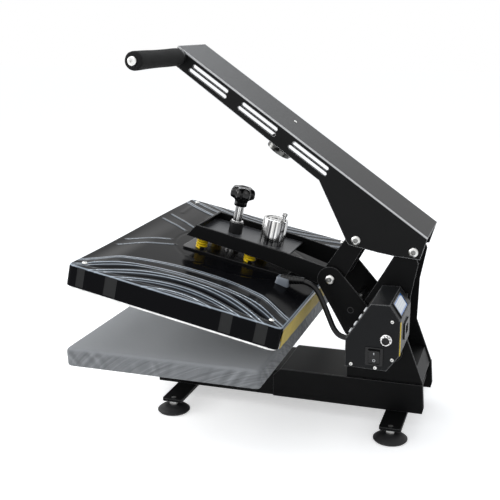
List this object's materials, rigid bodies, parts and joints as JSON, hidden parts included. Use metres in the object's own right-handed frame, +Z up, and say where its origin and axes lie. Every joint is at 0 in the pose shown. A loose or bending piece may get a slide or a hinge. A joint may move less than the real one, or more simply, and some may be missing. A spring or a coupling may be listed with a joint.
{
  "type": "flat heat press",
  "caption": "Clamshell flat heat press: linked handle and press arm lower a large tilting platen onto a cloth-covered pad on a narrow base with crossbar feet and a side control box.",
  "frame": {"origin": "centre of the footprint on the floor", "axes": "+X the machine's right side with the control box, +Y rearwards, +Z up"},
  "size_m": [0.64, 0.67, 0.7529],
  "materials": {
    "rubber": "matte",
    "bright_steel": "bright zinc",
    "black_frame": "satin black powder coat",
    "aluminium": "machined",
    "sponge": "matte silicone",
    "grey_cloth": "woven, matte",
    "black_plastic": "satin",
    "display_blue": "glossy",
    "chrome": "polished",
    "foam": "foam, matte",
    "grey_floor": "satin grey",
    "gloss_black": "high gloss",
    "insulation": "woven, yellow",
    "yellow_spring": "yellow lacquer",
    "cable_black": "satin sheath"
  },
  "bodies": {
    "base": {"rubber_feet": "rubber", "foot_studs": "bright_steel", "crossbars": "black_frame", "base_beam": "black_frame", "base_side_right": "black_frame", "base_side_left": "black_frame", "base_top_plate": "black_frame", "tower_plate_right": "black_frame", "tower_plate_left": "black_frame", "tie_rods": "bright_steel", "rear_cover": "black_frame", "handle_shaft": "bright_steel", "handle_shaft_screws": "bright_steel", "press_shaft": "bright_steel", "pedestal": "black_frame", "lower_platen_plate": "aluminium", "sponge_pad": "sponge", "pad_cover": "grey_cloth", "box_bracket": "black_frame", "box_casing": "black_frame", "display_bezel": "black_plastic", "display_window": "display_blue", "switch_frame": "black_plastic", "round_connector": "chrome", "mains_inlet": "black_plastic", "box_screws": "bright_steel", "cable_gland": "black_plastic"},
    "handle": {"handle_arm": "black_frame", "grip_bar": "black_frame", "grip_collar": "black_plastic", "foam_grip": "foam", "grip_end_bolt": "chrome", "armature_bracket": "black_frame", "armature_disc": "chrome", "link_pin": "bright_steel", "link_pin_screws": "bright_steel"},
    "link": {"link_plates": "black_frame"},
    "press_arm": {"press_plate_right": "black_frame", "press_plate_left": "black_frame", "press_cross_pins": "bright_steel", "press_link_screws": "bright_steel", "press_tray": "black_frame", "tray_floor": "grey_floor", "knob_sleeve": "black_plastic", "sleeve_ring": "chrome", "magnet_pot": "chrome", "magnet_pin": "chrome"},
    "upper_platen": {"platen_cover": "gloss_black", "heating_plate": "aluminium", "insulation_band": "insulation", "mount_plate": "black_frame", "lift_springs": "yellow_spring", "cover_screws": "bright_steel", "strain_relief": "black_plastic", "platen_cable": "cable_black"},
    "pressure_screw": {"pressure_stud": "chrome", "star_knob": "black_plastic"},
    "strut_tube": {"strut_cylinder": "black_frame"},
    "strut_piston": {"strut_rod": "chrome"},
    "switch_key": {"switch_rocker": "black_plastic"}
  },
  "joints": [
    {"name": "handle_close", "type": "hinge", "parent": "base", "child": "handle", "pos_m": [0, 0.301, 0.3645], "axis": [1, 0, 0], "range_deg": [0, 35], "stiffness_Nm_per_rad": 20, "springref_deg": -148.97, "deforming": ["platen_cable"]},
    {"name": "press_close", "type": "hinge", "parent": "base", "child": "press_arm", "pos_m": [0, 0.2662, 0.156], "axis": [1, 0, 0], "range_deg": [-0.01, 11.56], "deforming": ["platen_cable"]},
    {"name": "link_swing", "type": "hinge", "parent": "handle", "child": "link", "pos_m": [0, 0.187, 0.38], "axis": [1, 0, 0], "range_deg": [-66.9, 0.01]},
    {"name": "strut_tilt", "type": "hinge", "parent": "base", "child": "strut_tube", "pos_m": [0, 0.2, 0.055], "axis": [1, 0, 0], "range_deg": [-0.01, 5.7]},
    {"name": "strut_stroke", "type": "slide", "parent": "strut_tube", "child": "strut_piston", "axis": [0, -0.1104, 0.9939], "range_m": [-0.0166, 0.00001]},
    {"name": "knob_turn", "type": "hinge", "parent": "upper_platen", "child": "pressure_screw", "pos_m": [0, -0.08223, 0.40512], "axis": [0, 0.2002, 0.9798], "range_deg": [-270.5, 1260.5]},
    {"name": "platen_lift", "type": "slide", "parent": "press_arm", "child": "upper_platen", "axis": [0, 0.2002, 0.9798], "range_m": [-0.0015, 0.007], "deforming": ["lift_springs", "platen_cable"]},
    {"name": "switch_rock", "type": "hinge", "parent": "base", "child": "switch_key", "pos_m": [0.208, 0.2535, 0.1925], "axis": [0, 1, 0], "range_deg": [-18, 0]}
  ],
  "couplings": [
    {"joint": "press_close", "follows": "handle_close", "ratio": 0.33},
    {"joint": "link_swing", "follows": "handle_close", "ratio": -1.9106},
    {"joint": "strut_tilt", "follows": "handle_close", "ratio": 0.15996},
    {"joint": "strut_stroke", "follows": "handle_close", "m_per_rad": -0.026853},
    {"joint": "knob_turn", "follows": "platen_lift", "rad_per_m": 3141.6}
  ]
}
